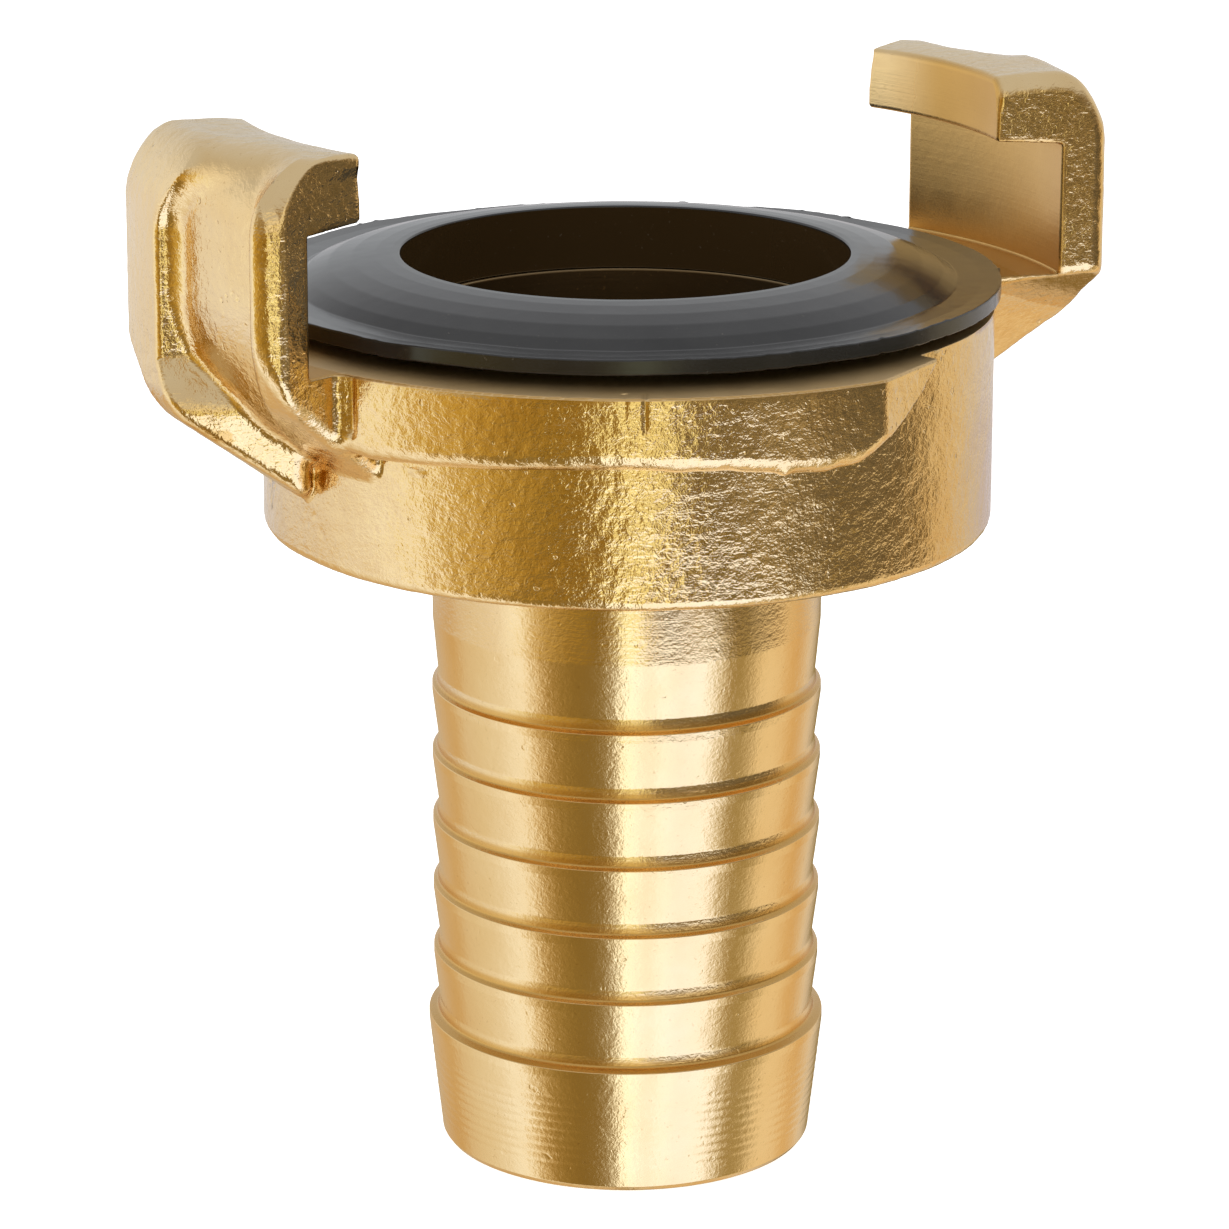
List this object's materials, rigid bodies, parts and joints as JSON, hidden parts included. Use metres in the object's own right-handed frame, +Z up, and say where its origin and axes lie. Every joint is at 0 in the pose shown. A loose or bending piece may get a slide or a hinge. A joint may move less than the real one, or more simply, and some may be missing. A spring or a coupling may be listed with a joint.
{
  "type": "quarter turn hose coupling",
  "caption": "Claw-type quick hose coupling half: forged brass collar with hook claws and cam flanges, a barbed hose tail below and a black rubber lip seal on the face.",
  "frame": {"origin": "centre of the tail's end face, which the part stands on", "axes": "+Z up the bore from the tail's end to the claws; the claws stand at 33 and 213 degrees from +X, counter-clockwise seen from above"},
  "size_m": [0.0498, 0.0432, 0.056],
  "materials": {
    "forged_brass": "forged and tumbled, bright, with turned tail, face and cam flange edges",
    "black_rubber": "smooth moulded, slightly glossy, thin flash on the brim"
  },
  "bodies": {
    "root": {"coupling_body": "forged_brass", "lip_seal": "black_rubber"}
  },
  "joints": []
}
